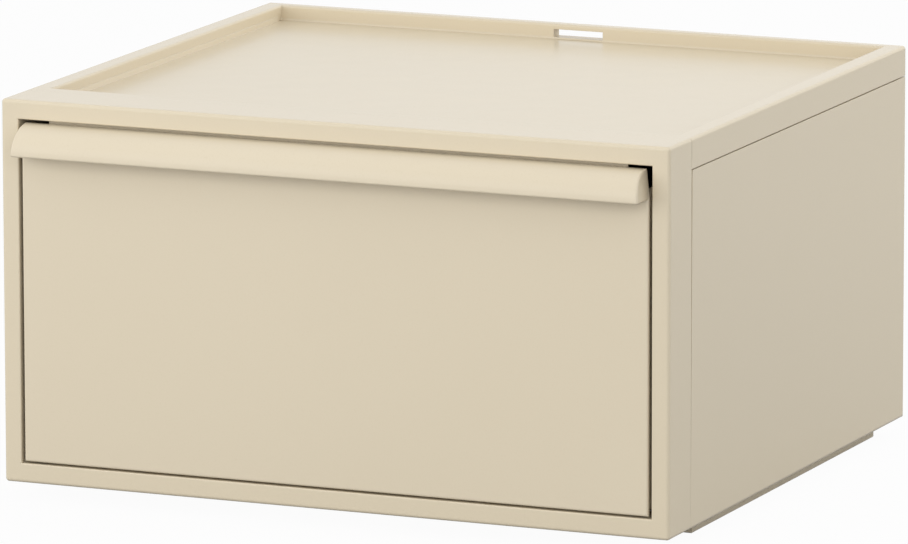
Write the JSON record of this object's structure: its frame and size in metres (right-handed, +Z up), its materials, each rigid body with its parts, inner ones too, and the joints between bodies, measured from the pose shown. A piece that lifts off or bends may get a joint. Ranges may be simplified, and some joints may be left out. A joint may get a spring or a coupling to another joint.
{
  "type": "closet drawer case",
  "caption": "Low plastic storage case with a deep pull-out drawer on rollers, a full-width quarter-round pull and a rimmed tray top that another case can stand in.",
  "frame": {"origin": "centre of the plinth's underside across the width, halfway between the front and rear faces of the case", "axes": "+X to the right seen from the front, +Y to the rear, +Z up"},
  "size_m": [0.4, 0.3756, 0.2269],
  "materials": {
    "shell": "satin moulded plastic, warm beige",
    "drawer": "satin moulded plastic, warm beige",
    "runner": "smooth natural plastic, off-white",
    "roller": "smooth natural plastic, off-white",
    "steel": "zinc-plated steel"
  },
  "bodies": {
    "case": {"front_frame": "shell", "top_panel": "shell", "left_side_panel": "shell", "right_side_panel": "shell", "back_panel": "shell", "bottom_panel": "shell", "left_runner": "runner", "right_runner": "runner", "front_left_roller_pin": "steel", "front_right_roller_pin": "steel"},
    "drawer": {"drawer_tub": "drawer", "drawer_front": "drawer", "pull_handle": "drawer", "front_screws": "steel", "rear_left_roller_pin": "steel", "rear_right_roller_pin": "steel"},
    "front_left_wheel": {"front_left_roller": "roller"},
    "front_right_wheel": {"front_right_roller": "roller"},
    "rear_left_wheel": {"rear_left_roller": "roller"},
    "rear_right_wheel": {"rear_right_roller": "roller"}
  },
  "joints": [
    {"name": "drawer_slide", "type": "slide", "parent": "case", "child": "drawer", "axis": [0, -1, 0], "range_m": [0, 0.2545]},
    {"name": "front_left_spin", "type": "hinge", "parent": "case", "child": "front_left_wheel", "pos_m": [-0.1796, -0.1546, 0.0176], "axis": [1, 0, 0], "continuous": true},
    {"name": "front_right_spin", "type": "hinge", "parent": "case", "child": "front_right_wheel", "pos_m": [0.1796, -0.1546, 0.0176], "axis": [1, 0, 0], "continuous": true},
    {"name": "rear_left_spin", "type": "hinge", "parent": "drawer", "child": "rear_left_wheel", "pos_m": [-0.1796, 0.15, 0.0177], "axis": [1, 0, 0], "continuous": true},
    {"name": "rear_right_spin", "type": "hinge", "parent": "drawer", "child": "rear_right_wheel", "pos_m": [0.1796, 0.15, 0.0177], "axis": [1, 0, 0], "continuous": true}
  ],
  "couplings": [
    {"joint": "front_left_spin", "follows": "drawer_slide", "rad_per_m": 222.22},
    {"joint": "front_right_spin", "follows": "drawer_slide", "rad_per_m": 222.22},
    {"joint": "rear_left_spin", "follows": "drawer_slide", "rad_per_m": 222.22},
    {"joint": "rear_right_spin", "follows": "drawer_slide", "rad_per_m": 222.22}
  ]
}
